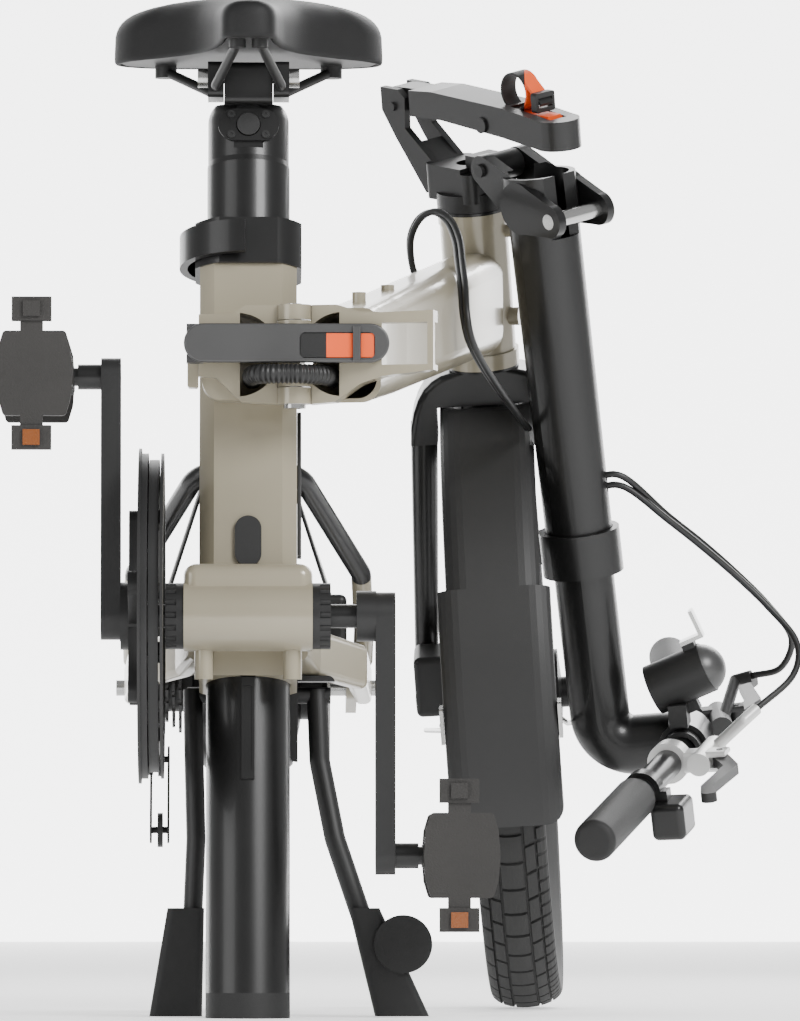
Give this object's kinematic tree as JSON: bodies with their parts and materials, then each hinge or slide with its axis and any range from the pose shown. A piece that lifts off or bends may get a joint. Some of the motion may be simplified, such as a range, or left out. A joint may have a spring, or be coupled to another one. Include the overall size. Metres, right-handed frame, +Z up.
{
  "type": "folding bicycle",
  "caption": "Small-wheeled folding electric bicycle, stored folded, standing on its seatpost and stand, with hinged frame, folding handlepost and disc brakes.",
  "frame": {"origin": "on the ground at the seatpost's rubber foot, in the rear half's centre plane, under the crank axle", "axes": "+Z up; the rear half's nose points along -Y and its left side along +X"},
  "size_m": [0.5994, 0.9582, 0.743],
  "materials": {
    "frame_paint": "gloss",
    "black_alloy": "satin",
    "grey_alloy": "satin",
    "bare_steel": "satin",
    "black_plastic": "matte",
    "black_rubber": "matte",
    "tyre_rubber": "matte",
    "rim_alloy": "satin",
    "orange_strap": "matte",
    "saddle_cover": "matte"
  },
  "bodies": {
    "rear_frame": {"seat_tube": "frame_paint", "rear_stays": "frame_paint", "hinge_pins": "bare_steel", "seat_collar": "black_alloy", "bottom_bracket_cups": "black_alloy", "cable_fittings": "black_plastic", "cable_sleeve": "black_rubber", "rear_fender": "black_plastic", "rear_caliper": "black_alloy", "derailleur": "bare_steel", "chain": "bare_steel", "stand_bracket": "black_alloy", "rear_axle": "bare_steel"},
    "seat_lever": {"seat_clamp_lever": "black_alloy"},
    "stand": {"stand_legs": "black_alloy", "stand_feet": "black_rubber"},
    "seatpost": {"seatpost_tube": "black_alloy", "seatpost_foot": "black_rubber", "battery_pack": "black_plastic", "post_head": "black_alloy"},
    "button": {"power_button": "black_plastic"},
    "saddle": {"saddle_rails": "bare_steel", "saddle_clamp": "black_alloy", "saddle_shell": "black_plastic", "saddle_pad": "saddle_cover"},
    "crank": {"crank_arms": "grey_alloy", "crank_spindles": "bare_steel", "chainring": "bare_steel"},
    "right_pedal": {"pedal_right": "black_plastic"},
    "left_pedal": {"pedal_left": "black_plastic"},
    "rear_wheel": {"rear_tyre": "tyre_rubber", "rear_rim": "rim_alloy", "rear_hub_motor": "black_alloy", "cassette": "bare_steel"},
    "front_half": {"front_frame": "frame_paint", "headset": "black_alloy", "head_cables": "black_rubber"},
    "frame_latch": {"latch_lever": "grey_alloy", "latch_strap": "orange_strap"},
    "fork_and_stem": {"fork": "black_alloy", "front_axle": "bare_steel", "front_fender": "black_plastic", "front_caliper": "black_alloy", "stem_base": "black_alloy"},
    "front_wheel": {"front_tyre": "tyre_rubber", "front_rim": "rim_alloy", "front_hub": "black_alloy"},
    "stem_lever": {"stem_latch": "grey_alloy", "stem_strap": "orange_strap"},
    "handlepost": {"handlepost": "black_alloy"},
    "bars": {"upper_post": "black_alloy", "handlebar": "black_alloy", "grips": "black_rubber", "brake_bodies": "grey_alloy", "bell": "black_plastic", "far_brake_hose": "black_rubber", "near_brake_hose": "black_rubber"},
    "left_lever": {"brake_lever_left": "black_plastic"},
    "right_lever": {"brake_lever_right": "black_plastic"},
    "hammer": {"bell_hammer": "bare_steel"}
  },
  "joints": [
    {"name": "frame_fold", "type": "hinge", "parent": "rear_frame", "child": "front_half", "pos_m": [0.033, 0.02, 0.4725], "axis": [0, 0, -1], "range_deg": [0, 165.8], "deforming": ["cable_sleeve"]},
    {"name": "frame_latch_turn", "type": "hinge", "parent": "rear_frame", "child": "frame_latch", "pos_m": [-0.038, 0.012, 0.4725], "axis": [0, 0, -1], "range_deg": [0, 90]},
    {"name": "seatpost_slide", "type": "slide", "parent": "rear_frame", "child": "seatpost", "axis": [0, 0.1994, 0.9799], "range_m": [0, 0.25]},
    {"name": "seat_lever_turn", "type": "hinge", "parent": "rear_frame", "child": "seat_lever", "pos_m": [-0.017, 0.1605, 0.54335], "axis": [0, -0.1994, -0.9799], "range_deg": [0, 80]},
    {"name": "power_button_press", "type": "slide", "parent": "seatpost", "child": "button", "axis": [0, 0.9799, -0.1994], "range_m": [0, 0.0012], "stiffness_N_per_m": 500, "springref_m": -0.001},
    {"name": "saddle_tilt", "type": "hinge", "parent": "seatpost", "child": "saddle", "pos_m": [0, 0.118, 0.6808], "axis": [1, 0, 0], "range_deg": [-6, 6]},
    {"name": "crank_turn", "type": "hinge", "parent": "rear_frame", "child": "crank", "pos_m": [0, 0, 0.285], "axis": [1, 0, 0], "range_deg": [-118, 118]},
    {"name": "right_pedal_spin", "type": "hinge", "parent": "crank", "child": "right_pedal", "pos_m": [-0.151, 0, 0.455], "axis": [1, 0, 0], "continuous": true},
    {"name": "left_pedal_spin", "type": "hinge", "parent": "crank", "child": "left_pedal", "pos_m": [0.151, 0, 0.115], "axis": [1, 0, 0], "continuous": true},
    {"name": "rear_wheel_spin", "type": "hinge", "parent": "rear_frame", "child": "rear_wheel", "pos_m": [0, 0.4, 0.245], "axis": [1, 0, 0], "continuous": true},
    {"name": "stand_swing", "type": "hinge", "parent": "rear_frame", "child": "stand", "pos_m": [0, 0.128, 0.232], "axis": [1, 0, 0], "range_deg": [0, 60]},
    {"name": "steering", "type": "hinge", "parent": "front_half", "child": "fork_and_stem", "pos_m": [0.1717, 0.43361, 0.613], "axis": [-0.0778, -0.3076, 0.9483], "range_deg": [-12, 25], "deforming": ["head_cables"]},
    {"name": "front_wheel_spin", "type": "hinge", "parent": "fork_and_stem", "child": "front_wheel", "pos_m": [0.20452, 0.59477, 0.24476], "axis": [-0.9962, 0.0621, -0.0616], "continuous": true},
    {"name": "handlepost_fold", "type": "hinge", "parent": "fork_and_stem", "child": "handlepost", "pos_m": [0.19406, 0.39142, 0.64333], "axis": [-0.767, -0.5892, -0.2541], "range_deg": [0, 176.25]},
    {"name": "stem_lever_turn", "type": "hinge", "parent": "fork_and_stem", "child": "stem_lever", "pos_m": [0.12375, 0.45955, 0.69762], "axis": [-0.767, -0.5892, -0.2541], "range_deg": [0, 91]},
    {"name": "post_extension", "type": "slide", "parent": "handlepost", "child": "bars", "axis": [0.1193, 0.2581, -0.9587], "range_m": [0, 0.035], "deforming": ["far_brake_hose", "near_brake_hose"]},
    {"name": "left_lever_squeeze", "type": "hinge", "parent": "bars", "child": "left_lever", "pos_m": [0.35901, 0.39684, 0.19073], "axis": [0.1193, 0.2581, -0.9587], "range_deg": [0, 12], "stiffness_Nm_per_rad": 1.5, "springref_deg": -17.19},
    {"name": "right_lever_squeeze", "type": "hinge", "parent": "bars", "child": "right_lever", "pos_m": [0.37909, 0.52562, 0.2279], "axis": [-0.1193, -0.2581, 0.9587], "range_deg": [0, 12], "stiffness_Nm_per_rad": 1.5, "springref_deg": -17.19},
    {"name": "bell_hammer_flick", "type": "hinge", "parent": "bars", "child": "hammer", "pos_m": [0.33556, 0.42888, 0.28118], "axis": [0.4324, 0.1871, -0.882], "range_deg": [0, 18], "stiffness_Nm_per_rad": 0.05, "springref_deg": -17.19}
  ],
  "couplings": [
    {"joint": "frame_latch_turn", "follows": "frame_fold", "ratio": 0.54},
    {"joint": "stem_lever_turn", "follows": "handlepost_fold", "ratio": 0.51}
  ]
}
